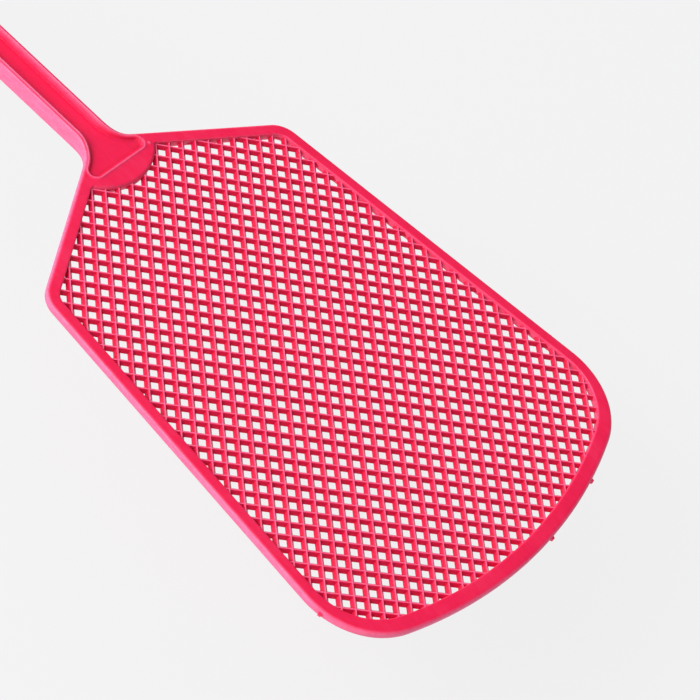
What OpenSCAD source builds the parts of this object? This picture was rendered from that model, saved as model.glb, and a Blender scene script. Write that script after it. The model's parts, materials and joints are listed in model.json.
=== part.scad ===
// Fly swatter, one injection moulding drawn as its named regions, laid flat on its handle.
// X runs along the swatter from the grip end to the blade tip, Y across it, Z up.
// The origin is under the middle of the whole length. Left is +Y. Sizes are in millimetres.

/* [Overall] */
// Length from the grip end to the blade tip
overall_length = 450; // [390:5:560]
// Length of the blade, from where the shoulders spring out of the handle to the tip
blade_length = 144; // [118:1:176]
// Thickness of the handle section
handle_height = 5.2; // [4:0.1:8]
// Width of the handle section
handle_width = 9.1; // [7:0.1:12]

/* [Blade outline] */
// Length along X over which the shoulders run
shoulder_run = 23; // [18:0.5:30]
// Half the blade's width where shoulder and side would meet in a sharp corner
shoulder_half_width = 46.8; // [38:0.2:57]
// Angle by which each side leans outwards towards the tip
side_flare = 6.4; // [2:0.1:9]
// Radius between handle and shoulder
root_radius = 8; // [5:0.5:11]
// Radius between shoulder and side
shoulder_radius = 7.3; // [5:0.1:12]
// Radius between side and tip
corner_radius = 21; // [14:0.5:26]
// Radius of the bowed tip
tip_radius = 130; // [105:1:180]

/* [Rim] */
// Width of the rim along shoulders and sides
rim_width = 3.3; // [2:0.1:4.5]
// Width of the rim across the tip
tip_rim_width = 4.1; // [2.5:0.1:6]
// Thickness of the rim and of the pad
rim_height = 2.4; // [1.8:0.1:3.6]
// Length of the sprue stubs left on the tip edge
gate_length = 0.9; // [0.5:0.1:1.5]
// Width of the sprue stubs
gate_width = 1.2; // [0.8:0.1:2]

/* [Mesh] */
// Distance from one square hole to the next
cell_pitch = 3.5; // [3:0.1:5]
// Mean opening of a square hole
cell_opening = 2.5; // [1.6:0.1:2.6]
// Distance from the tip to the centre of a hole on the axis, counted on under the rim
lattice_offset = 2.15; // [0:0.05:5]
// Thickness of the mesh
mesh_height = 1.4; // [1:0.1:1.8]

/* [Handle] */
// Thickness of the upright walls along the handle
wall_width = 1.3; // [0.9:0.1:1.8]
// Thickness of the flat web between the walls
web_height = 1.25; // [0.8:0.05:1.8]
// Length of the grip at its full width
grip_length = 90; // [70:1:130]
// Width of the grip
grip_width = 16; // [15:0.5:22]
// Length over which the grip narrows into the shaft
grip_blend = 26; // [16:1:40]
// Diameter of the hanging hole
hang_hole_d = 6; // [4:0.5:7.5]
// Wall of the raised ring around the hanging hole
hang_ring_wall = 1.6; // [1:0.1:1.7]

/* [Neck] */
// Straight stretch of wall between the root's curve and the scoop's corner
scoop_side = 0.3; // [0.1:0.1:1.5]
// Radius of the scoop's two corners
scoop_corner = 1.75; // [1:0.05:2.5]
// Radius of the pad's curved edge
pad_radius = 17.3; // [15:0.1:20]
// Distance from the scoop's straight edge to the furthest point of the pad
pad_length = 6.1; // [5:0.1:9]

/* [Hidden] */

HOT_PINK = "#f0285a";
ARC_STEPS = 10;     // straight steps in each rounded corner
TIP_STEPS = 24;     // straight steps along half of the bowed tip
BLEND_STEPS = 12;   // straight steps along each curved stretch of the handle
ROUND = 96;
BIG = 1000;         // larger than the whole swatter, for cutting planes
SINK = 0.2;         // start of a stub inside the outline, before the blade is cut from it
tip_gates = [7.4, 29.8];    // distances of two sprue stubs from the axis
corner_gate_angle = -82;    // direction of the third, round the right far corner

// Places along X and Z
mid_z = handle_height / 2;
tip_x = overall_length / 2;
grip_end_x = -overall_length / 2;
root_x = tip_x - blade_length;
shaft_half = handle_width / 2;
grip_half = grip_width / 2;
hang_x = grip_end_x + grip_half;
hang_ring_d = hang_hole_d + 2 * hang_ring_wall;
grip_blend_x = grip_end_x + grip_length;
shaft_start_x = grip_blend_x + grip_blend;

// Directions: the shoulder leaves the axis at shoulder_angle, the side at side_flare
shoulder_angle = atan2(shoulder_half_width - shaft_half, shoulder_run);
root_tangent = root_radius * tan(shoulder_angle / 2);
neck_start_x = root_x - root_tangent;
shoulder_corner = [root_x + shoulder_run, shoulder_half_width];
root_end_x = neck_start_x + (root_radius + wall_width) * sin(shoulder_angle);
scoop_edge_x = root_end_x + scoop_side + scoop_corner * (1 + sin(shoulder_angle));
pad_centre_x = scoop_edge_x + pad_length - pad_radius;

// Unit direction at an angle, and the unit normal on its right-hand side, which points inwards
function along(a) = [cos(a), sin(a)];
function inward(a) = [sin(a), -cos(a)];
// Points of an arc from angle a to angle b
function arc(c, r, a, b, n) = [for (i = [0:n]) c + r * along(a + (b - a) * i / n)];
function smooth(t) = t * t * (3 - 2 * t);

// Blade outline, inset from the outer edge: the side rim by d, the tip rim by e.
// The shoulder and side lines move in by d, and every radius shrinks with them.
function shoulder_centre() = shoulder_corner + shoulder_radius
    * (inward(side_flare) + tan((shoulder_angle - side_flare) / 2) * along(side_flare));
// Centre of the far corner: its own radius inside the side line and inside the tip's arc
function far_centre(d, e) =
    let (r = corner_radius - d, p = shoulder_corner + corner_radius * inward(side_flare),
         c = [tip_x - tip_radius, 0], q = p - c, u = along(side_flare), b = q * u,
         reach = tip_radius - e - r)
    p + u * (-b + sqrt(b * b - q * q + reach * reach));
function far_angle(d, e) =
    let (v = far_centre(d, e) - [tip_x - tip_radius, 0]) atan2(v[1], v[0]);
function half_outline(d, e) = concat(
    arc(shoulder_centre(), shoulder_radius - d, shoulder_angle + 90, side_flare + 90, ARC_STEPS),
    arc(far_centre(d, e), corner_radius - d, side_flare + 90, far_angle(d, e), ARC_STEPS),
    arc([tip_x - tip_radius, 0], tip_radius - e, far_angle(d, e), 0, TIP_STEPS));
function mirrored(points) = [for (i = [len(points) - 1:-1:0]) [points[i][0], -points[i][1]]];
// Where the shoulder line, moved in by d, crosses the line at x
function shoulder_y(x, d) = shaft_half + (x - root_x) * tan(shoulder_angle) - d / cos(shoulder_angle);
// The root's curve between the handle's side and the shoulder line, moved in by d
root_centre = [neck_start_x, shaft_half + root_radius];
function root_arc(d) = arc(root_centre, root_radius + d, -90, shoulder_angle - 90, ARC_STEPS);
// Half of the scoop's floor: the wall's inner edge, then the rounded corner
channel_half = shaft_half - wall_width;
scoop_corner_x = scoop_edge_x - scoop_corner;
scoop_corner_y = shoulder_y(scoop_corner_x, wall_width + scoop_corner);
half_scoop = concat(root_arc(wall_width),
    arc([scoop_corner_x, scoop_corner_y], scoop_corner, shoulder_angle + 90, 0, ARC_STEPS));
// Left half of the grip's outline, moved in by d: the round end, then the narrowing to the shaft
function half_grip(d) = concat(
    arc([hang_x, 0], grip_half - d, 180, 90, ARC_STEPS),
    [for (i = [0:BLEND_STEPS]) let (t = i / BLEND_STEPS)
        [grip_blend_x + t * grip_blend, grip_half - d + (shaft_half - grip_half) * smooth(t)]]);

// Lattice: square holes on a grid turned by 45 degrees, with one row of holes on the axis
lattice_x = tip_x - lattice_offset;
function cell_centre(i, j) = [lattice_x, 0] + cell_pitch / sqrt(2) * [i - j, i + j];
function half_width(x) = min(shoulder_y(x, 0),
    shoulder_half_width + (x - shoulder_corner[0]) * tan(side_flare));
function in_blade(p) = p[0] > scoop_edge_x - cell_pitch && p[0] < tip_x + cell_pitch
    && abs(p[1]) < half_width(p[0]) + cell_pitch;

module moulded(height) {
    color(HOT_PINK) translate([0, 0, mid_z - height / 2]) linear_extrude(height) children();
}
module side(s) {
    if (s > 0) children();
    else mirror([0, 1]) children();
}

// 2D regions
module blade_area(d, e) {
    start = [[scoop_edge_x, shoulder_y(scoop_edge_x, d)]];
    half = concat(start, half_outline(d, e));
    polygon(concat(half, mirrored(half)));
}
module rim_area() {
    difference() {
        blade_area(0, 0);
        blade_area(rim_width, tip_rim_width);
    }
}
module pad_disc() {
    translate([pad_centre_x, 0]) circle(pad_radius, $fn = ROUND);
}
// The half-plane ahead of the line through p at the angle a, within the left half
module ahead_of(p, a) {
    intersection() {
        translate(p) rotate(a) translate([0, -BIG]) square([BIG, 2 * BIG]);
        translate([-BIG, 0]) square([2 * BIG, BIG]);
    }
}
// Part of the left rim between two such lines
module rim_stretch(from, from_angle, to, to_angle) {
    intersection() {
        rim_area();
        difference() {
            ahead_of(from, from_angle);
            ahead_of(to, to_angle);
        }
    }
}
far_start = far_centre(0, 0);
mitre_angle = (shoulder_angle + side_flare) / 2;

// Grip and shaft
module grip_area(d) {
    polygon(concat(half_grip(d), mirrored(half_grip(d))));
}
module grip_wall_area() {
    difference() {
        grip_area(0);
        grip_area(wall_width);
    }
}
module hang_ring() {
    color(HOT_PINK) difference() {
        translate([hang_x, 0, 0]) cylinder(h = handle_height, d = hang_ring_d, $fn = ROUND);
        translate([hang_x, 0, -1]) cylinder(h = handle_height + 2, d = hang_hole_d, $fn = ROUND);
    }
}
module grip_end_wall() {
    moulded(handle_height) difference() {
        grip_wall_area();
        translate([hang_x, -BIG]) square([BIG, 2 * BIG]);
    }
}
module grip_wall(s) {
    moulded(handle_height) side(s) intersection() {
        grip_wall_area();
        translate([hang_x, 0]) square(BIG);
    }
}
module grip_web() {
    moulded(web_height) difference() {
        grip_area(wall_width);
        translate([hang_x, 0]) circle(d = hang_ring_d, $fn = ROUND);
    }
}
module shaft_wall(s) {
    moulded(handle_height) side(s) translate([shaft_start_x, channel_half])
        square([neck_start_x - shaft_start_x, wall_width]);
}
module shaft_web() {
    moulded(web_height) translate([shaft_start_x, -channel_half])
        square([neck_start_x - shaft_start_x, 2 * channel_half]);
}

// Neck: each wall sinks from the handle's height to the rim's on its way to the shoulders
module neck_profile() {
    sinking = [for (i = [0:BLEND_STEPS]) let (t = i / BLEND_STEPS)
        [neck_start_x + t * (root_end_x - neck_start_x),
         (handle_height + (rim_height - handle_height) * smooth(t)) / 2]];
    half = concat(sinking, [[scoop_edge_x, rim_height / 2]]);
    translate([0, 0, mid_z]) rotate([90, 0, 0]) translate([0, 0, -BIG])
        linear_extrude(2 * BIG) polygon(concat(half, mirrored(half)));
}
module neck_wall(s) {
    outer = concat(root_arc(0), [[scoop_edge_x, shoulder_y(scoop_edge_x, 0)]]);
    inner = [for (i = [len(half_scoop) - 1:-1:0]) half_scoop[i]];
    color(HOT_PINK) intersection() {
        moulded(handle_height) side(s) polygon(concat(outer, inner));
        neck_profile();
    }
}
module neck_floor() {
    moulded(web_height) polygon(concat(half_scoop, mirrored(half_scoop)));
}
module neck_pad() {
    moulded(rim_height) intersection() {
        pad_disc();
        blade_area(rim_width, tip_rim_width);
    }
}

// Rim, in seven stretches, and the mesh inside it
module rim_shoulder(s) {
    moulded(rim_height) side(s)
        rim_stretch([scoop_edge_x, 0], 0, shoulder_corner, mitre_angle);
}
module rim_side(s) {
    moulded(rim_height) side(s)
        rim_stretch(shoulder_corner, mitre_angle, far_start, side_flare);
}
module rim_corner(s) {
    moulded(rim_height) side(s)
        rim_stretch(far_start, side_flare, far_start, far_angle(0, 0) - 90);
}
module rim_tip() {
    moulded(rim_height) for (s = [1, -1]) side(s) intersection() {
        rim_area();
        ahead_of(far_start, far_angle(0, 0) - 90);
    }
}
// One stub standing out of an arc of the outline, at an angle round its centre
module stub(centre, radius, angle) {
    translate(centre) rotate(angle) translate([radius, -gate_width / 2])
        square([gate_length, gate_width]);
}
module gate_stubs() {
    tip_centre = [tip_x - tip_radius, 0];
    corner_centre = [far_start[0], -far_start[1]];
    moulded(rim_height / 2) difference() {
        union() {
            for (y = tip_gates) stub(tip_centre, tip_radius - SINK, asin(y / tip_radius));
            stub(corner_centre, corner_radius - SINK, corner_gate_angle);
        }
        blade_area(0, 0);
    }
}
module blade_mesh() {
    reach = ceil((blade_length + shoulder_half_width) / cell_pitch);
    moulded(mesh_height) difference() {
        blade_area(rim_width, tip_rim_width);
        pad_disc();
        for (i = [-reach:reach], j = [-reach:reach])
            if (in_blade(cell_centre(i, j)))
                translate(cell_centre(i, j)) rotate(45) square(cell_opening, center = true);
    }
}

hang_ring();
grip_end_wall();
grip_wall(1);  // grip_left_wall
grip_wall(-1);  // grip_right_wall
grip_web();
shaft_wall(1);  // shaft_left_wall
shaft_wall(-1);  // shaft_right_wall
shaft_web();
neck_wall(1);  // neck_left_wall
neck_wall(-1);  // neck_right_wall
neck_floor();
neck_pad();
rim_shoulder(1);  // rim_left_shoulder
rim_shoulder(-1);  // rim_right_shoulder
rim_side(1);  // rim_left_side
rim_side(-1);  // rim_right_side
rim_corner(1);  // rim_left_corner
rim_corner(-1);  // rim_right_corner
rim_tip();
gate_stubs();
blade_mesh();
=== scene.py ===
"""A hot pink one-piece fly swatter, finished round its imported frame.

The whole swatter is one moulding with two like faces. So each region of it is made as a slab: a
grid laid over its plan, with a half-thickness at every grid point that is added above and taken
away below the mould's parting plane. Grid lines follow the moulding's own edges.
All lengths are in metres.
"""
import json

import bpy
import numpy as np
from mathutils import Matrix, Vector


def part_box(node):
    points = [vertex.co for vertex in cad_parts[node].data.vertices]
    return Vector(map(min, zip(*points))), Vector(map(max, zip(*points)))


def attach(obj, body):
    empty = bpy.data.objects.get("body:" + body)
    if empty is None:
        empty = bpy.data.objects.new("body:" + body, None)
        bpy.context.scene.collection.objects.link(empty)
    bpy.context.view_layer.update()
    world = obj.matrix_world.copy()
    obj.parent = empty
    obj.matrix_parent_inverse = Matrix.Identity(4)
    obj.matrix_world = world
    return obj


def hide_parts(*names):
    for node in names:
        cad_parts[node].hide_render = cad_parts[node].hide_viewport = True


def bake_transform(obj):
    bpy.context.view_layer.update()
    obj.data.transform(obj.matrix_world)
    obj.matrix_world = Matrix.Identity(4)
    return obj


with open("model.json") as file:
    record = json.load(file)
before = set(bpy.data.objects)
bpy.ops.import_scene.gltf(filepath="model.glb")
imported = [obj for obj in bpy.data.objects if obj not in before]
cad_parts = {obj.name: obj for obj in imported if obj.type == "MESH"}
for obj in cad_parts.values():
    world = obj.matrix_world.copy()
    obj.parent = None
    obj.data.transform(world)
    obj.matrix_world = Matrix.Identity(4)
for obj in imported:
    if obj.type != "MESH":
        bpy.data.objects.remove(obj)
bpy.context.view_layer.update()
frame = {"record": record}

MM = 0.001


def low(node):
    return np.array(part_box(node)[0])


def high(node):
    return np.array(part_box(node)[1])


def half_size(node, axis):
    return (high(node) - low(node))[axis] / 2


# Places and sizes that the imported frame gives
MID_Z = (low("shaft_left_wall") + high("shaft_left_wall"))[2] / 2
HANDLE_H = half_size("shaft_left_wall", 2)
WEB_H = half_size("shaft_web", 2)
RIM_H = half_size("rim_tip", 2)
SHAFT_HALF = high("shaft_left_wall")[1]
WALL = SHAFT_HALF - low("shaft_left_wall")[1]
GRIP_HALF = high("grip_left_wall")[1]
GRIP_END_X = low("grip_end_wall")[0]
HANG_X = GRIP_END_X + GRIP_HALF
SHAFT_X = high("grip_left_wall")[0]
NECK_X = low("neck_floor")[0]
SCOOP_X = high("neck_floor")[0]
PAD_TIP_X = high("neck_pad")[0]
TIP_X = high("rim_tip")[0]
HANG_RING_R = half_size("hang_ring", 1)
HANG_HOLE_R = [m for m in frame["record"]["mounts"] if m["name"] == "hang_hole"][0]["dims"]["r_mm"] * MM

# The blade's outline, as it was designed
SHOULDER_RUN = 23 * MM
SHOULDER_HALF = 46.8 * MM
SIDE_FLARE = np.radians(6.4)
ROOT_R = 8 * MM
SHOULDER_R = 7.3 * MM
CORNER_R = 21 * MM
TIP_R = 130 * MM
RIM_W = 3.3 * MM
TIP_RIM_W = 4.1 * MM
SCOOP_CORNER_R = 1.75 * MM
PAD_R = 17.3 * MM
GRIP_BLEND = 26 * MM

# Edges of the moulding, as the mould's cutters left them
WALL_EDGE_R = 0.32 * MM     # outer edges of the handle's walls
RIM_EDGE_R = 0.85 * MM      # outer edge of the rim
RIM_INNER_R = 0.35 * MM     # inner edge of the rim
PAD_EDGE_R = 0.8 * MM       # curved edge of the pad
FLANK = 0.45 * MM           # width of the step from a wall's top down to the web
FOOT_DIP = 0.04 * MM        # a swept wall's foot ends this much under the web's surface

# Painted light at each place, from 0, painted shade deep in a recess, through an open face in its plain
# colour, up to 1, a full painted highlight
PLAIN_FACE = 0.2
FACE_LIGHT = 0.25             # flat faces of rim and pad: a faint painted highlight
LEDGE_HIGHLIGHT = 0.4             # painted highlight on a wall's top beside the bead
FLANK_HIGHLIGHT = 0.6             # painted highlight on the step from a wall's top down to the web
BEAD_HIGHLIGHT = 0.8              # painted highlight on the bead where it runs round the scoop
EDGE_HIGHLIGHT = 0.4              # painted highlight on the rim's inner edge
CREST_FOOT_HIGHLIGHT = 0.4        # painted highlight at the foot of the bevel along a bar's crest
CORNER_SHADE = 1.2 * MM     # how far from a wall's foot the web is painted in shade

PAD_RAISE = 0.12 * MM       # the pad stands this much above the rim
PAD_STEP = 0.6 * MM         # width of the soft step at the pad's curved edge
BEAD_RAISE = 0.2 * MM       # a fine bead round the channel and scoop stands this much above the land
BEAD_INSET = 0.4 * MM       # from the channel's edge out to the bead's middle
BEAD_W = 0.24 * MM

# Lattice
CELL = 3.5 * MM
LATTICE_OFFSET = 2.15 * MM  # from the tip to a hole's centre on the axis
CREST = 0.22 * MM           # flat width of a bar's crest
CREST_BEVEL = 0.06 * MM
WAIST = 1.78 * MM           # opening of a hole where it is narrowest
WAIST_Z = -0.3 * MM         # height of that place from the middle of the moulding
MESH_H = half_size("blade_mesh", 2)
UNDERSIDE = (MESH_H + WAIST_Z) / (MESH_H - WAIST_Z)     # depth below the waist for each unit above it

# Sprue stubs
TIP_STUBS = np.array([7.4, 29.8]) * MM      # distances of two of them from the axis
CORNER_STUB = np.radians(-82)               # direction of the third, round the right far corner
STUB_SUNK = 0.3 * MM        # length inside the rim
STUB_OUT = 0.6 * MM         # length outside it
STUB_HALF = 0.55 * MM       # half its width and half its thickness where it starts

# Studio
FLOOR_GLOW = 0.84
FLOOR_Z = -42 * MM          # low enough for the blade to flex down without meeting it
FLOOR_HALF = 20
SOFTBOX_SIZE = 0.8
SOFTBOX_DISTANCE = 1.6

# Directions and places worked out from those
SHOULDER = np.arctan2(SHOULDER_HALF - SHAFT_HALF, SHOULDER_RUN)
ROOT_X = NECK_X + ROOT_R * np.tan(SHOULDER / 2)
ROOT_END_X = NECK_X + (ROOT_R + WALL) * np.sin(SHOULDER)
ROOT_CENTRE = np.array([NECK_X, SHAFT_HALF + ROOT_R])
SHOULDER_CORNER = np.array([ROOT_X + SHOULDER_RUN, SHOULDER_HALF])
PAD_CENTRE = np.array([PAD_TIP_X - PAD_R, 0])
TIP_CENTRE = np.array([TIP_X - TIP_R, 0])


def along(a):
    """Unit direction at the angle a from the swatter's axis."""
    return np.stack([np.cos(a), np.sin(a)], axis=-1)


def inward(a):
    """Unit normal to the right of that direction, which points into the blade on its left edge."""
    return np.stack([np.sin(a), -np.cos(a)], axis=-1)


def smooth(t):
    """3t^2 - 2t^3 between 0 and 1, and level outside."""
    t = np.clip(t, 0, 1)
    return t * t * (3 - 2 * t)


def shoulder_centre():
    """Centre of the shoulder corner: its radius inside both the shoulder line and the side line."""
    turn = np.tan((SHOULDER - SIDE_FLARE) / 2)
    return SHOULDER_CORNER + SHOULDER_R * (inward(SIDE_FLARE) + turn * along(SIDE_FLARE))


def far_centre():
    """Centre of the far corner: its radius inside the side line, and as much inside the tip's arc."""
    start = SHOULDER_CORNER + CORNER_R * inward(SIDE_FLARE) - TIP_CENTRE
    side = along(SIDE_FLARE)
    reach = start @ side
    return TIP_CENTRE + start + side * (
        -reach + np.sqrt(reach**2 - start @ start + (TIP_R - CORNER_R) ** 2))


SHOULDER_C = shoulder_centre()
FAR_C = far_centre()
FAR_ANGLE = np.arctan2(*(FAR_C - TIP_CENTRE)[::-1])
FAR_HEADING = FAR_ANGLE - np.pi / 2
MITRE = (SHOULDER + SIDE_FLARE) / 2


# ---------------------------------------------------------------- meshes

def make_mesh(name, points, loops, totals, painted_light=None):
    """A mesh from points, the flat list of every face's corners and each face's corner count.
    Points closer than a tenth of a micrometre are one, and a face loses corners that fall together.
    The painted light of each point, from 0, painted shade, to 1, a painted highlight, goes in as the
    last argument."""
    rounded = np.round(points / (0.0001 * MM)).astype(np.int64)
    keys, index = np.unique(rounded, axis=0, return_inverse=True)
    index = index.ravel()
    merged = np.zeros((len(keys), 3))
    merged[index] = points
    corner = index[loops]
    face = np.repeat(np.arange(len(totals)), totals)
    first = np.cumsum(totals) - totals
    following = np.arange(len(corner)) + 1
    following[first + totals - 1] = first
    distinct = corner != corner[following]
    corner, face = corner[distinct], face[distinct]
    count = np.bincount(face, minlength=len(totals))
    corner = corner[np.repeat(count > 2, count)]
    count = count[count > 2]
    mesh = bpy.data.meshes.new(name)
    mesh.vertices.add(len(merged))
    mesh.vertices.foreach_set("co", merged.ravel())
    mesh.loops.add(len(corner))
    mesh.loops.foreach_set("vertex_index", corner)
    mesh.polygons.add(len(count))
    mesh.polygons.foreach_set("loop_start", np.cumsum(count) - count)
    mesh.update(calc_edges=True)
    # Per-point painted light: painted highlights and painted shade for the material's colour ramp
    if painted_light is not None:
        merged_light = np.zeros(len(keys))
        merged_light[index] = painted_light
        mesh.attributes.new("painted_light", "FLOAT", "POINT").data.foreach_set("value", merged_light)
    mesh.validate()
    mesh.shade_smooth()
    mesh.set_sharp_from_angle(angle=np.radians(50))
    obj = bpy.data.objects.new(name, mesh)
    bpy.context.scene.collection.objects.link(obj)
    return obj


def grid_faces(index):
    """Four corners for each cell of a grid of point numbers, counter-clockwise from (row, column)."""
    corners = [index[:-1, :-1], index[1:, :-1], index[1:, 1:], index[:-1, 1:]]
    return np.stack(corners, axis=-1).reshape(-1, 4)


def slab(x, y, top, painted_light, bottom=None, ring=False):
    """Points, four-cornered faces and painted light of a closed solid over the plan grid (x, y): its
    upper face is at the parting plane plus top, its lower face at the plane minus bottom, and upright
    strips join the two round the border. With ring, the last row of the grid meets the first, and has no
    strip."""
    bottom = top if bottom is None else bottom
    count = x.size
    upper = np.arange(count).reshape(x.shape)
    area = np.sum(np.diff(x, axis=0)[:, :-1] * np.diff(y, axis=1)[:-1]
                  - np.diff(y, axis=0)[:, :-1] * np.diff(x, axis=1)[:-1])
    upper_faces = grid_faces(upper)
    if ring:
        borders = [upper[::-1, 0], upper[:, -1]]
    else:
        borders = [np.concatenate([upper[:, -1], upper[-1, -2::-1], upper[-2::-1, 0], upper[0, 1:]])]
    strips = [np.stack([b[:-1], b[1:], b[1:] + count, b[:-1] + count], axis=-1) for b in borders]
    faces = np.concatenate([upper_faces, upper_faces[:, ::-1] + count] + strips)
    if area < 0:
        faces = faces[:, ::-1]
    points = np.concatenate([
        np.stack([x, y, MID_Z + top], axis=-1).reshape(-1, 3),
        np.stack([x, y, MID_Z - bottom], axis=-1).reshape(-1, 3)])
    return points, faces, np.tile(np.broadcast_to(painted_light, x.shape).ravel(), 2)


def piece(name, *solids):
    """One object from one or more closed solids."""
    points, loops, painted_lights, start = [], [], [], 0
    for p, f, r in solids:
        points.append(p)
        loops.append(f + start)
        painted_lights.append(r)
        start += len(p)
    faces = np.concatenate(loops)
    return make_mesh(name, np.concatenate(points), faces.ravel(), np.full(len(faces), 4),
                     np.concatenate(painted_lights))


# ---------------------------------------------------------------- handle

# Insets from the outer edge at which grid lines run: round the edge, over the wall's top with its
# bead, down the step and out on the web
EDGE_TURN = np.linspace(0, np.pi / 2, 6)
WALL_LINES = np.concatenate([
    WALL_EDGE_R * (1 - np.cos(EDGE_TURN)),
    WALL_EDGE_R + (WALL - WALL_EDGE_R) * np.linspace(0, 1, 13)[1:],
    WALL + FLANK * np.linspace(0, 1, 10)[1:]])


def edge_drop(inset, radius):
    """How far a rounded edge lies below its flat top: the radius less the height of the circle."""
    short = np.clip(radius - inset, 0, radius)
    return radius - np.sqrt(radius**2 - short**2)


def wall_step(depth):
    """1 on the land outside the scoop or channel, 0 on the web, smooth over FLANK past its edge."""
    return smooth(1 - depth / FLANK)


def bead(depth):
    """A rounded bead along the channel's edge: a bell curve about its middle, 1 at its top."""
    return np.exp(-((depth + BEAD_INSET) / BEAD_W) ** 2)


def handle_thickness(inset):
    """Half-thickness of the handle's H section at an inset from its outer edge."""
    depth = inset - WALL
    land = HANDLE_H - BEAD_RAISE * (1 - bead(depth))
    return WEB_H + (land - WEB_H) * wall_step(depth) - edge_drop(inset, WALL_EDGE_R)


def web_shade(depth):
    """Painted shade on the web at a distance from a wall's top edge: half of an open face's plain value
    at the wall's foot, rising to it farther out.
    """
    return PLAIN_FACE * (0.5 + 0.5 * smooth((depth - FLANK) / CORNER_SHADE))


def wall_light(inset, depth):
    """Painted light on a wall: a full painted highlight on its outer side and on the bead, less on the
    ledge between them and less again down the step. The web is painted in shade at the wall's foot
    and plain farther out."""
    side = smooth(1 - inset / WALL_EDGE_R)
    top = LEDGE_HIGHLIGHT + (1 - LEDGE_HIGHLIGHT) * np.maximum(bead(depth), side)
    step = FLANK_HIGHLIGHT * smooth((FLANK - depth) / FLANK) ** 0.5
    return np.where(depth > 0, np.maximum(step, web_shade(depth)), top)


def mirrored_columns(edge):
    """A grid's y values from those of its left half, whose last column lies on the axis."""
    return np.concatenate([edge, -edge[:, -2::-1]], axis=1)


def handle_stretch(name, x, half):
    """A length of H section: at each x, lines run at fixed insets from the outer edge, squared to its
    slope, and then in even steps to the axis."""
    slope = np.sqrt(1 + np.gradient(half, x) ** 2)
    lines = half[:, None] - WALL_LINES * slope[:, None]
    inner = lines[:, -1:] * np.linspace(1, 0, 6)[1:]
    left = np.concatenate([lines, inner], axis=1)
    y = mirrored_columns(left)
    inset = np.concatenate([WALL_LINES, np.full(inner.shape[1], GRIP_HALF)])
    inset = np.concatenate([inset, inset[-2::-1]])
    thickness = handle_thickness(inset)
    # The walls take painted highlights, and the web painted shade by their feet.
    return piece(name, slab(np.repeat(x[:, None], y.shape[1], axis=1), y,
                            np.repeat(thickness[None], len(x), axis=0),
                            wall_light(inset, inset - WALL)))


GRIP_SPLIT_X = HANG_X + GRIP_HALF + 1 * MM      # where the hanging end meets the plain grip


def build_grip():
    """The plain grip, then a smooth step in width down to the shaft."""
    x = np.concatenate([np.linspace(GRIP_SPLIT_X, SHAFT_X - GRIP_BLEND, 24),
                        np.linspace(SHAFT_X - GRIP_BLEND, SHAFT_X, 40)[1:]])
    half = GRIP_HALF + (SHAFT_HALF - GRIP_HALF) * smooth(1 - (SHAFT_X - x) / GRIP_BLEND)
    return handle_stretch("grip", x, half)


def build_shaft():
    x = np.linspace(SHAFT_X, NECK_X, 60)
    return handle_stretch("shaft", x, np.full(len(x), SHAFT_HALF))


def build_grip_end():
    """The round end of the grip: a wall swept along two straights and a half circle, and a flat web
    from a hole under the hanging ring out to a line inside the wall."""
    straight = np.linspace(GRIP_SPLIT_X - HANG_X, 0, 8)[:-1]
    turn = np.linspace(np.pi / 2, 3 * np.pi / 2, 49)
    centre_x = HANG_X + np.concatenate([straight, np.zeros(len(turn)), straight[::-1]])
    angle = np.concatenate([np.full(len(straight), turn[0]), turn, np.full(len(straight), turn[-1])])
    radius = GRIP_HALF - WALL_LINES
    x = centre_x[:, None] + radius * np.cos(angle)[:, None]
    y = radius * np.sin(angle)[:, None]
    thickness = handle_thickness(WALL_LINES)
    thickness[-1] -= FOOT_DIP
    # Painted highlights on the wall, and painted shade on the web by its foot.
    wall = slab(x, y, np.repeat(thickness[None], len(x), axis=0),
                wall_light(WALL_LINES, WALL_LINES - WALL))

    ray = np.linspace(0, 2 * np.pi, 97)
    edge = GRIP_HALF - WALL / 2
    reach = np.minimum(edge / np.abs(np.where(np.cos(ray) > 0, np.sin(ray), 1) + 1e-9),
                       (GRIP_SPLIT_X - HANG_X) / np.maximum(np.cos(ray), 1e-9))
    start = HANG_HOLE_R + (HANG_RING_R - HANG_HOLE_R) / 2
    distance = start + (reach[:, None] - start) * np.linspace(0, 1, 5)
    web = slab(HANG_X + distance * np.cos(ray)[:, None], distance * np.sin(ray)[:, None],
               np.full(distance.shape, WEB_H), PLAIN_FACE, ring=True)
    return piece("grip_end", wall, web)


def build_hang_ring():
    """A ring round the hanging hole, turned from one profile: a rounded mouth, a flat top and a step
    down to the web."""
    radius = np.concatenate([
        HANG_HOLE_R + WALL_EDGE_R * (1 - np.cos(EDGE_TURN)),
        np.linspace(HANG_HOLE_R + WALL_EDGE_R, HANG_RING_R - FLANK / 2, 4)[1:],
        HANG_RING_R + FLANK * np.linspace(-0.5, 0.5, 10)[1:]])
    top = WEB_H + (HANDLE_H - WEB_H) * wall_step(radius - HANG_RING_R + FLANK / 2)
    top -= edge_drop(radius - HANG_HOLE_R, WALL_EDGE_R)
    top[-1] -= FOOT_DIP
    ray = np.linspace(0, 2 * np.pi, 97)[:, None]
    # The ring's top takes a painted highlight, and its step and foot take painted shade.
    return piece("hang_ring_moulded", slab(HANG_X + radius * np.cos(ray), radius * np.sin(ray),
                                           np.repeat(top[None], len(ray), axis=0),
                                           LEDGE_HIGHLIGHT * (top > WEB_H + 0.2 * MM), ring=True))


# ---------------------------------------------------------------- neck and pad

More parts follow.
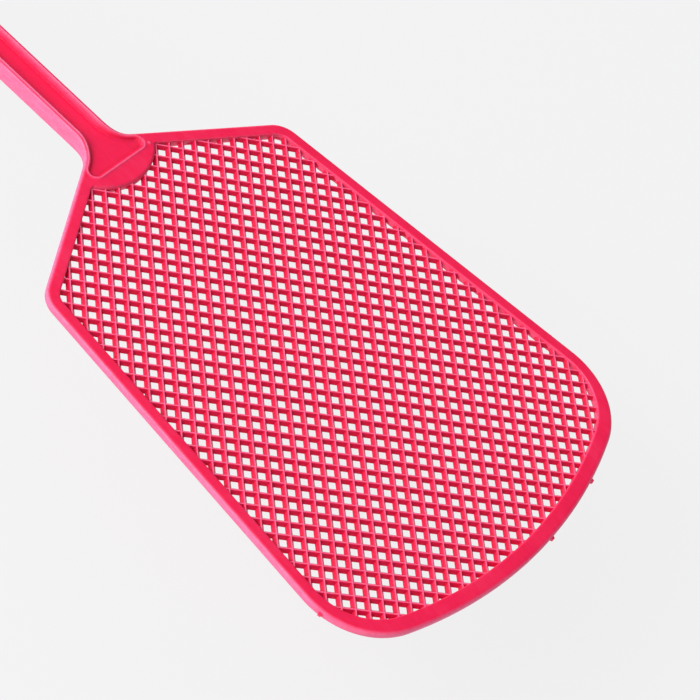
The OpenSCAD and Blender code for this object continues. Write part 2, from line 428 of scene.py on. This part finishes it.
def root_edge(x, inset):
    """Half-width of the outline at x, moved in by inset: the root's arc to its end, then the
    shoulder line."""
    arc_r = ROOT_R + inset
    arc = ROOT_CENTRE[1] - np.sqrt(np.maximum(arc_r**2 - (x - NECK_X) ** 2, 0))
    line = SHAFT_HALF + (x - ROOT_X) * np.tan(SHOULDER) - inset / np.cos(SHOULDER)
    return np.where(x < NECK_X + arc_r * np.sin(SHOULDER), arc, line)


def root_inset(x, y):
    """Distance in from the outline: from the root's circle before its end, else from the line."""
    p = np.stack([x, np.abs(y)], axis=-1)
    arc = np.linalg.norm(p - ROOT_CENTRE, axis=-1) - ROOT_R
    line = (p - [ROOT_X, SHAFT_HALF]) @ inward(SHOULDER)
    past = (p - ROOT_CENTRE) @ along(SHOULDER) > 0
    return np.where(past, line, arc)


def scoop_depth(x, y):
    """Distance in from the scoop's edge: from the wall or the straight lip, whichever is nearer, and
    round each corner from the corner's circle."""
    wall = root_inset(x, y) - WALL
    lip = SCOOP_X - x
    corner_x = SCOOP_X - SCOOP_CORNER_R
    corner = np.array([corner_x, root_edge(corner_x, WALL + SCOOP_CORNER_R)])
    from_corner = np.stack([x, np.abs(y)], axis=-1) - corner
    in_corner = (from_corner @ along(SHOULDER) > 0) & (from_corner[..., 1] > 0)
    return np.where(in_corner, SCOOP_CORNER_R - np.linalg.norm(from_corner, axis=-1),
                    np.minimum(wall, lip))


def pad_raise(x, y):
    """The pad's disc stands a little proud, with a soft step at its edge, and sinks into the rim."""
    inside = smooth((PAD_R - np.hypot(x - PAD_CENTRE[0], y)) / PAD_STEP)
    return PAD_RAISE * inside * smooth((root_inset(x, y) - RIM_W / 2) / RIM_W)


def neck_surface(x, y):
    """Half-thickness and painted light of the neck: the walls sink from the handle's to the rim's
    height, the scoop's floor is the web, the bead runs on round the scoop, and the outer edge is
    rounded. The bead and the outer edge take painted highlights, and the scoop's floor painted shade by
    its edge."""
    sunk = smooth((x - NECK_X) / (ROOT_END_X - NECK_X))
    depth = scoop_depth(x, y)
    inset = root_inset(x, y)
    wall_land = HANDLE_H - BEAD_RAISE
    land = wall_land + (RIM_H + pad_raise(x, y) - wall_land) * sunk + BEAD_RAISE * bead(depth)
    edge_r = WALL_EDGE_R + (RIM_EDGE_R - WALL_EDGE_R) * sunk
    thickness = WEB_H + (land - WEB_H) * wall_step(depth) - edge_drop(inset, edge_r)
    # Painted highlights on the bead and the rounded outer edge, and painted shade on the scoop's floor
    # by its edge.
    flat = FACE_LIGHT + (1 - FACE_LIGHT) * np.maximum(BEAD_HIGHLIGHT * bead(depth), smooth(1 - inset / edge_r))
    flat = np.where(depth > 0, np.maximum(FACE_LIGHT * wall_step(depth), web_shade(depth)), flat)
    return thickness, wall_light(inset, depth) * (1 - sunk) + flat * sunk


def pad_meets_rim():
    """Where the pad's circle crosses the rim's inner edge: a point on that line at the circle's
    radius from its centre."""
    foot = np.array([SCOOP_X, root_edge(SCOOP_X, RIM_W)]) - PAD_CENTRE
    reach = foot @ along(SHOULDER)
    return PAD_CENTRE + foot + along(SHOULDER) * (-reach + np.sqrt(reach**2 - foot @ foot + PAD_R**2))


SEAM_X, SEAM_Y = pad_meets_rim()

# A nib left on the pad beside the scoop's left corner
NIB = np.array([SCOOP_X + 0.1 * MM, 10.6 * MM])
NIB_RAISE = 0.3 * MM


def nib(x, y):
    """A low oval rise, longer along the swatter than across it."""
    return np.exp(-((x - NIB[0]) / (0.65 * MM)) ** 2 - ((y - NIB[1]) / (0.28 * MM)) ** 2)


def build_neck():
    """From the handle's section to the line where the pad meets the rim. Grid lines keep their inset
    from the outline past the wall's step, then run in even steps to the axis."""
    x = np.concatenate([np.linspace(NECK_X, ROOT_END_X, 30),
                        np.linspace(ROOT_END_X, SEAM_X, 42)[1:]])
    land_lines = np.linspace(WALL_LINES[-1], RIM_W, 8)[1:]
    insets = np.concatenate([WALL_LINES, land_lines])
    lines = root_edge(x[:, None], insets)
    inner = lines[:, -1:] * np.linspace(1, 0, 48)[1:]
    y = mirrored_columns(np.concatenate([lines, inner], axis=1))
    x = np.repeat(x[:, None], y.shape[1], axis=1)
    thickness, painted_light = neck_surface(x, y)
    rise = nib(x, y)
    # The nib takes a painted highlight as well as its rise.
    return piece("neck", slab(x, y, thickness + NIB_RAISE * rise, np.maximum(painted_light, rise), thickness))


def build_pad():
    """The pad beyond the neck: a segment of its circle, ruled from the chord to the arc, with a
    rounded edge along the arc."""
    y = SEAM_Y * np.sin(np.linspace(-1, 1, 81) * np.pi / 2)
    arc_x = PAD_CENTRE[0] + np.sqrt(PAD_R**2 - y**2)
    share = 1 - (1 - np.linspace(0, 1, 28)) ** 1.8
    x = SEAM_X + (arc_x - SEAM_X) * share[:, None]
    y = np.repeat(y[None], len(share), axis=0)
    inside = PAD_R - np.hypot(x - PAD_CENTRE[0], y)
    lip = bead(SCOOP_X - x)
    thickness = RIM_H + pad_raise(x, y) + BEAD_RAISE * lip - edge_drop(inside, PAD_EDGE_R)
    # Painted highlights on the bead and along the pad's curved edge.
    highlit = np.maximum(BEAD_HIGHLIGHT * lip, EDGE_HIGHLIGHT * smooth(1 - inside / PAD_EDGE_R))
    return piece("pad", slab(x, y, thickness, FACE_LIGHT + (1 - FACE_LIGHT) * highlit))


# ---------------------------------------------------------------- rim

def rim_width(heading):
    """The rim widens from the sides to the tip as its edge turns the far corner."""
    return RIM_W + (TIP_RIM_W - RIM_W) * smooth((SIDE_FLARE - heading) / (SIDE_FLARE - FAR_HEADING))


def band(edge, heading, lean=None):
    """A length of rim. Its grid lines run at insets from the outer edge: round the outer edge, over
    the top and round the inner edge. lean turns a section away from square to the edge."""
    width = rim_width(heading)
    outer = RIM_EDGE_R * (1 - np.cos(EDGE_TURN))
    share = np.linspace(0, 1, 8)
    fixed = np.concatenate([outer, RIM_EDGE_R - share[1:] * (RIM_EDGE_R + RIM_INNER_R),
                            -RIM_INNER_R * (1 - np.cos(EDGE_TURN[::-1]))[1:]])
    part = np.concatenate([np.zeros(len(EDGE_TURN)), share[1:], np.ones(len(EDGE_TURN) - 1)])
    inset = fixed + part * width[:, None]
    lean = np.zeros(len(heading)) if lean is None else lean
    step = inward(heading) + along(heading) * np.tan(lean)[:, None]
    p = edge[:, None] + step[:, None] * inset[..., None]
    x, y = p[..., 0], p[..., 1]
    from_inner = width[:, None] - inset
    drop = edge_drop(inset, RIM_EDGE_R) + edge_drop(from_inner, RIM_INNER_R)
    # Painted highlights round the rim's outer and inner edges.
    highlit = np.maximum(smooth(1 - inset / RIM_EDGE_R), EDGE_HIGHLIGHT * smooth(1 - from_inner / RIM_INNER_R))
    return x, y, RIM_H - drop + pad_raise(x, y), FACE_LIGHT + (1 - FACE_LIGHT) * highlit


def arc_edge(centre, radius, first, last, count):
    """Points and headings along an outer edge's arc, run from heading first to heading last."""
    heading = np.linspace(first, last, count)
    return centre - radius * inward(heading), heading


def straight_edge(start, end, count):
    """Points and headings along a straight outer edge."""
    t = np.linspace(0, 1, count)[:, None]
    direction = end - start
    return start + direction * t, np.full(count, np.arctan2(direction[1], direction[0]))


def join(*lengths):
    """Several lengths of edge as one, each starting where the last ends."""
    edges = [lengths[0][0]] + [e[1:] for e, _ in lengths[1:]]
    headings = [lengths[0][1]] + [h[1:] for _, h in lengths[1:]]
    return np.concatenate(edges), np.concatenate(headings)


def build_rim():
    """The rim in seven lengths. Each left one has a mirrored right one, and the tip is one length.
    The shoulder's first sections lie in the plane of the seam with the neck and turn square to the
    edge over the next stretch."""
    seam = np.array([SEAM_X, root_edge(SEAM_X, 0)])
    side_start = SHOULDER_C - SHOULDER_R * inward(SIDE_FLARE)
    side_end = FAR_C - CORNER_R * inward(SIDE_FLARE)
    shoulder_end = SHOULDER_C - SHOULDER_R * inward(SHOULDER)
    shoulder = join(straight_edge(seam, shoulder_end, 40),
                    arc_edge(SHOULDER_C, SHOULDER_R, SHOULDER, MITRE, 10))
    square_by = 16 * MM
    travelled = np.linalg.norm(shoulder[0] - seam, axis=1)
    lean = -SHOULDER * (1 - smooth(travelled / square_by))
    lengths = {
        "shoulder": band(*shoulder, lean),
        "side": band(*join(arc_edge(SHOULDER_C, SHOULDER_R, MITRE, SIDE_FLARE, 10),
                           straight_edge(side_start, side_end, 50))),
        "corner": band(*arc_edge(FAR_C, CORNER_R, SIDE_FLARE, FAR_HEADING, 40)),
    }
    made = {}
    for name, (x, y, thickness, painted_light) in lengths.items():
        made[f"rim_left_{name}"] = piece(f"rim_left_{name}_moulded", slab(x, y, thickness, painted_light))
        made[f"rim_right_{name}"] = piece(f"rim_right_{name}_moulded", slab(x, -y, thickness, painted_light))
    tip = band(*arc_edge(TIP_CENTRE, TIP_R, FAR_HEADING, -np.pi - FAR_HEADING, 90))
    made["rim_tip"] = piece("rim_tip_moulded", slab(*tip))
    return made


def build_gate_stubs():
    """Three broken-off sprue stubs, each a short wedge with an uneven end."""
    rng = np.random.default_rng(7)
    places = [(TIP_CENTRE, TIP_R, a) for a in np.arcsin(TIP_STUBS / TIP_R)]
    places.append((FAR_C * [1, -1], CORNER_R, CORNER_STUB))
    solids = []
    for centre, radius, angle in places:
        out = np.linspace(-STUB_SUNK, STUB_OUT, 7)[:, None]
        across = STUB_HALF * np.linspace(-1, 1, 7)[None]
        ragged = rng.uniform(-0.12, 0.0, (1, 7)) * MM
        out = out + ragged * (out > 0.5 * MM)
        narrowing = 1 - 0.3 * (out + STUB_SUNK) / (STUB_SUNK + STUB_OUT)
        sideways = inward(angle) * (across * narrowing)[..., None]
        p = centre + along(angle) * (radius + out)[..., None] - sideways
        thickness = STUB_HALF * narrowing + rng.uniform(-0.05, 0.05, p.shape[:2]) * MM
        # The stubs take the painted highlight of the rim's inner edge.
        solids.append(slab(p[..., 0], p[..., 1], thickness, EDGE_HIGHLIGHT))
    return piece("gate_stubs_moulded", *solids)


# ---------------------------------------------------------------- lattice

def blade_inset(p):
    """Distance in from the blade's outline: the least of those from the shoulder line, the side line
    and the tip's circle, and round each corner from the corner's own circle."""
    p = np.stack([p[..., 0], np.abs(p[..., 1])], axis=-1)
    shoulder = (p - SHOULDER_CORNER) @ inward(SHOULDER)
    side = (p - SHOULDER_CORNER) @ inward(SIDE_FLARE)
    tip = TIP_R - np.linalg.norm(p - TIP_CENTRE, axis=-1)
    inset = np.minimum(np.minimum(shoulder, side), tip)
    for centre, radius, first, last in ((SHOULDER_C, SHOULDER_R, SHOULDER, SIDE_FLARE),
                                        (FAR_C, CORNER_R, SIDE_FLARE, FAR_HEADING)):
        v = p - centre
        turned = (v @ along(first) > 0) & (v @ along(last) < 0)
        inset = np.where(turned, radius - np.linalg.norm(v, axis=-1), inset)
    return inset


def lattice_keep(p):
    """Above 0 where the lattice is kept: inside the middle of the rim and outside the pad's edge."""
    under_pad = 1 * MM
    return np.minimum(blade_inset(p) - RIM_W / 2,
                      np.linalg.norm(p - PAD_CENTRE, axis=-1) - PAD_R + under_pad)


def lattice_cells():
    """Centres of the cells that reach the blade's inside, on a square grid turned by 45 degrees."""
    count = int((TIP_X - SCOOP_X + SHOULDER_HALF) / CELL) + 2
    i, j = np.meshgrid(np.arange(-count, count), np.arange(-count, count))
    diagonal = CELL / np.sqrt(2)
    centre = np.stack([TIP_X - LATTICE_OFFSET + diagonal * (i - j), diagonal * (i + j)], axis=-1)
    centre = centre.reshape(-1, 2)
    near = (centre[:, 0] > SCOOP_X - CELL) & (centre[:, 0] < TIP_X + CELL)
    return centre[near & (lattice_keep(centre) > -CELL)]


def build_lattice():
    """Square holes that narrow from both faces to a waist, with thin flat crests between them. Each
    cell is a stack of square rings from its border to its waist, and its underside is the same stack
    turned over the waist and made shallower. Faces that the rim or the pad swallows are cut off
    halfway inside it, where a short wall closes the cut."""
    half = CELL / 2
    foot = half - CREST / 2 - CREST_BEVEL
    ring = np.array([                       # half-width, height above the waist and painted light of each ring: a painted highlight on the crest, painted shade down the walls
        [half, MESH_H - WAIST_Z, 1],
        [half - CREST / 2, MESH_H - WAIST_Z, 1],
        [foot, MESH_H - WAIST_Z - CREST_BEVEL, CREST_FOOT_HIGHLIGHT],
        [foot - 0.08 * MM, MESH_H - WAIST_Z - 0.2 * MM, 0],
        [WAIST / 2, 0.06 * MM, 0],
        [WAIST / 2, 0, 0]])
    corner = along(np.arange(4) * np.pi / 2) * np.sqrt(2)      # corners of a unit square turned by 45
    plan = lattice_cells()[:, None, None] + ring[:, :1, None] * corner
    rise = np.broadcast_to(ring[:, None, 1:], plan.shape)
    point = np.concatenate([plan, rise], axis=-1)
    outer, inner = point[:, :-1], point[:, 1:]
    quad = np.stack([outer, np.roll(outer, -1, axis=2), np.roll(inner, -1, axis=2), inner], axis=-2)
    quad = quad.reshape(-1, 4, 4)

    keep = lattice_keep(quad[..., :2])
    quad, keep = quad[(keep > 0).any(axis=1)], keep[(keep > 0).any(axis=1)]
    inside, after = keep > 0, np.roll(keep, -1, axis=1)
    crosses = inside != (after > 0)
    share = np.where(crosses, keep / np.where(crosses, keep - after, 1), 0)
    cut = quad + (np.roll(quad, -1, axis=1) - quad) * share[..., None]
    corners = np.stack([quad, cut], axis=2).reshape(len(quad), 8, 4)
    used = np.stack([inside, crosses], axis=2).reshape(len(quad), 8)

    cut_face = crosses.any(axis=1)
    rows = np.flatnonzero(cut_face)
    leaves = cut[rows, np.argmax((crosses & inside)[rows], axis=1)]
    enters = cut[rows, np.argmax((crosses & ~inside)[rows], axis=1)]
    down = np.array([1, 1, -UNDERSIDE, 1])
    closing = np.stack([enters, leaves, leaves * down, enters * down], axis=1)

    upper, totals = corners[used], used.sum(axis=1)
    lower = (corners * down)[:, ::-1][used[:, ::-1]]
    points = np.concatenate([upper, lower, closing.reshape(-1, 4)])
    totals = np.concatenate([totals, totals, np.full(len(closing), 4)])
    return make_mesh("lattice", points[:, :3] + [0, 0, MID_Z + WAIST_Z], np.arange(len(points)), totals,
                     points[:, 3])


# ---------------------------------------------------------------- material

def linear(code):
    """Linear colour of an sRGB hex code."""
    c = np.array([int(code[i:i + 2], 16) for i in (1, 3, 5)]) / 255
    return [*np.where(c <= 0.04045, c / 12.92, ((c + 0.055) / 1.055) ** 2.4), 1.0]


def add(tree, kind, links=(), **settings):
    """Adds a node. Settings named as attributes are set on it, others on its input sockets; links are
    (input socket, source node, source socket)."""
    node = tree.nodes.new(kind)
    for name, value in settings.items():
        if hasattr(node, name):
            setattr(node, name, value)
        else:
            node.inputs[name.replace("_", " ")].default_value = value
    for socket, source, output in links:
        tree.links.new(source.outputs[output], node.inputs[socket])
    return node


def per_metre(size):
    """Noise scale for features of that size."""
    return 1 / size


def moulded_polyethylene():
    """Polyethylene, injection moulded in a satin-polished tool. It is waxy: light goes a millimetre or
    two in and comes out redder, and the gloss is broad. Its colour carries painted light: recesses are
    painted a deeper red as shade, and the sides, the beads and the mesh's crests are painted paler as
    highlights, in short streaks, and are duller. The melt's flow leaves a faint unevenness of colour
    and a very low ripple."""
    material = bpy.data.materials.new("moulded_polyethylene_hot_pink")
    material.use_nodes = True
    tree = material.node_tree
    tree.nodes.clear()
    place = add(tree, "ShaderNodeTexCoord")
    flow_stretch = add(tree, "ShaderNodeMapping", [("Vector", place, "Object")], Scale=(0.3, 1, 1))
    flow = add(tree, "ShaderNodeTexNoise", [("Vector", flow_stretch, "Vector")],
               Scale=per_metre(14 * MM), Detail=3, Roughness=0.55)
    uneven = add(tree, "ShaderNodeMapRange", [("Value", flow, "Fac")],
                 From_Min=0.3, From_Max=0.7, To_Min=-0.04, To_Max=0.04)
    streaks = add(tree, "ShaderNodeTexNoise", [("Vector", flow_stretch, "Vector")],
                  Scale=per_metre(1.1 * MM), Detail=4, Roughness=0.65)
    patchy = add(tree, "ShaderNodeMapRange", [("Value", streaks, "Fac")],
                 From_Min=0.3, From_Max=0.7, To_Min=0.72, To_Max=1.0)
    # Painted light from the mesh, broken into short streaks, plus the melt's unevenness of tone.
    painted_light = add(tree, "ShaderNodeAttribute", attribute_name="painted_light")
    light_and_tone = add(tree, "ShaderNodeMath", [(0, painted_light, "Fac"), (1, patchy, "Result"), (2, uneven, "Result")],
                 operation="MULTIPLY_ADD")
    # Ramp: painted shade in deep red at 0, the plain moulded colour at an open face's value, and a
    # painted highlight in pale pink at 1.
    colour = add(tree, "ShaderNodeValToRGB", [("Fac", light_and_tone, "Value")])
    stops = colour.color_ramp.elements
    stops[0].color = linear("#c80a3a")
    stops[1].color = linear("#f56c96")
    stops.new(PLAIN_FACE).color = linear("#e61249")
    scuffs = add(tree, "ShaderNodeTexNoise", [("Vector", place, "Object")],
                 Scale=per_metre(2.2 * MM), Detail=5, Roughness=0.7)
    dullness = add(tree, "ShaderNodeMapRange", [("Value", scuffs, "Fac")],
                   From_Min=0.35, From_Max=0.7, To_Min=0.36, To_Max=0.48)
    rough = add(tree, "ShaderNodeMath", [(0, light_and_tone, "Value"), (2, dullness, "Result")],
                operation="MULTIPLY_ADD")
    rough.inputs[1].default_value = 0.1
    ripple = add(tree, "ShaderNodeTexNoise", [("Vector", flow_stretch, "Vector")],
                 Scale=per_metre(5 * MM), Detail=2, Roughness=0.4)
    rippled = add(tree, "ShaderNodeBump", [("Height", ripple, "Fac")], Strength=0.25, Distance=0.25 * MM)
    grain = add(tree, "ShaderNodeTexNoise", [("Vector", place, "Object")],
                Scale=per_metre(0.5 * MM), Detail=2, Roughness=0.5)
    surface = add(tree, "ShaderNodeBump", [("Height", grain, "Fac"), ("Normal", rippled, "Normal")],
                  Strength=0.2, Distance=0.03 * MM)
    plastic = add(tree, "ShaderNodeBsdfPrincipled",
                  [("Base Color", colour, "Color"), ("Roughness", rough, "Value"),
                   ("Normal", surface, "Normal")],
                  IOR=1.5)
    plastic.inputs["Specular IOR Level"].default_value = 0.4
    plastic.inputs["Subsurface Weight"].default_value = 0.15
    plastic.inputs["Subsurface Radius"].default_value = (1.0, 0.25, 0.3)
    plastic.inputs["Subsurface Scale"].default_value = 1.2 * MM
    output = add(tree, "ShaderNodeOutputMaterial", [("Surface", plastic, "BSDF")])
    output.is_active_output = True
    return material


def backlit_acrylic():
    """Opal acrylic sheet lit from below. Its own glow makes it near white, and its surface is matt
    and dark, so that it shows little shadow."""
    material = bpy.data.materials.new("backlit_opal_acrylic")
    material.use_nodes = True
    shader = material.node_tree.nodes["Principled BSDF"]
    shader.inputs["Base Color"].default_value = linear("#404040")
    shader.inputs["Roughness"].default_value = 0.9
    shader.inputs["Emission Color"].default_value = linear("#fcfcfd")
    shader.inputs["Emission Strength"].default_value = FLOOR_GLOW
    return material


# ---------------------------------------------------------------- studio

def build_camera():
    """The camera looks at a point on the blade from its right and above, and is rolled clockwise."""
    azimuth, elevation, roll = np.radians([11.6, 47.2, 34.6])
    target = Vector((TIP_X - 66 * MM, 7.2 * MM, MID_Z))
    distance = 728 * MM
    back = Vector((np.sin(azimuth) * np.cos(elevation), -np.cos(azimuth) * np.cos(elevation),
                   np.sin(elevation)))
    level = Vector((np.cos(azimuth), np.sin(azimuth), 0))
    right = level * np.cos(roll) + back.cross(level) * np.sin(roll)
    up = back.cross(right)
    data = bpy.data.cameras.new("camera")
    data.lens = 156.5
    data.sensor_width = 36
    data.clip_start = 0.01
    camera = bpy.data.objects.new("camera", data)
    axes = Matrix((right, up, back)).transposed()
    camera.matrix_world = Matrix.Translation(target + back * distance) @ axes.to_4x4()
    bpy.context.scene.collection.objects.link(camera)
    bpy.context.scene.camera = camera


def build_floor():
    """A flat sheet of pale backlit acrylic, set below the swatter so that the blade can flex down
    without meeting it."""
    side = FLOOR_HALF * np.linspace(-1, 1, 3)
    x, y = np.meshgrid(side, side, indexing="ij")
    faces = grid_faces(np.arange(9).reshape(3, 3))
    points = np.stack([x, y, np.full(x.shape, FLOOR_Z)], axis=-1).reshape(-1, 3)
    floor = make_mesh("floor", points, faces.ravel(), np.full(len(faces), 4))
    floor.data.materials.append(backlit_acrylic())


def add_softbox(name, direction, power):
    """A square area light that looks at the blade from a direction."""
    data = bpy.data.lights.new(name, "AREA")
    data.shape = "SQUARE"
    data.size = SOFTBOX_SIZE
    data.energy = power
    lamp = bpy.data.objects.new(name, data)
    aim = Vector(direction).normalized()
    blade_middle = Vector((TIP_X - 70 * MM, 0, 0))
    lamp.matrix_world = (Matrix.Translation(blade_middle + aim * SOFTBOX_DISTANCE)
                         @ aim.to_track_quat("Z", "Y").to_matrix().to_4x4())
    bpy.context.scene.collection.objects.link(lamp)


def aim_from(azimuth, elevation):
    """Unit direction at that azimuth and elevation, in degrees."""
    azimuth, elevation = np.radians([azimuth, elevation])
    return *(along(azimuth) * np.cos(elevation)), np.sin(elevation)


def build_light():
    """A room that is brightest on the key light's side and pale all round near the floor, a large
    softbox on the camera's side and a weaker, lower one towards the handle."""
    toward = aim_from(232, 34)
    add_softbox("key_softbox", toward, 22.5)
    add_softbox("side_softbox", aim_from(190, 10), 4)
    world = bpy.data.worlds.new("pale_room")
    world.use_nodes = True
    tree = world.node_tree
    direction = add(tree, "ShaderNodeTexCoord")
    facing = add(tree, "ShaderNodeVectorMath", [(0, direction, "Generated")], operation="DOT_PRODUCT")
    facing.inputs[1].default_value = toward
    brightness = add(tree, "ShaderNodeMapRange", [("Value", facing, "Value")],
                     From_Min=-0.05, From_Max=1.0, To_Min=0.14, To_Max=1.4)
    height = add(tree, "ShaderNodeSeparateXYZ", [("Vector", direction, "Generated")])
    skirting = add(tree, "ShaderNodeMapRange", [("Value", height, "Z")],
                   From_Min=0.03, From_Max=0.2, To_Min=0.88, To_Max=0.0)
    strength = add(tree, "ShaderNodeMath", [(0, brightness, "Result"), (1, skirting, "Result")],
                   operation="MAXIMUM")
    tree.links.new(strength.outputs["Value"], tree.nodes["Background"].inputs["Strength"])
    tree.nodes["Background"].inputs["Color"].default_value = linear("#f6f7f8")
    bpy.context.scene.world = world
    bpy.context.scene.view_settings.view_transform = "Standard"


# ---------------------------------------------------------------- assembly

build_camera()

grip_end = build_grip_end()
hang_ring = build_hang_ring()
grip = build_grip()
shaft = build_shaft()
neck = build_neck()
pad = build_pad()
rim = build_rim()
stubs = build_gate_stubs()
lattice = build_lattice()

plastic = moulded_polyethylene()
for made in (grip_end, hang_ring, grip, shaft, neck, pad, stubs, lattice, *rim.values()):
    made.data.materials.append(plastic)
for made in (grip_end, hang_ring, grip, shaft):
    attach(made, "handle")
for made in (pad, stubs, lattice, *rim.values()):
    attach(made, "blade")
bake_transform(neck)

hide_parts("grip_end_wall")
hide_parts("hang_ring")
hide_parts("grip_left_wall", "grip_right_wall", "grip_web")
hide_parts("shaft_left_wall", "shaft_right_wall", "shaft_web")
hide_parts("neck_left_wall", "neck_right_wall", "neck_floor")
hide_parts("neck_pad")
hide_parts("gate_stubs")
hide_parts("blade_mesh")
for node, made in rim.items():
    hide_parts(node)

build_floor()
build_light()
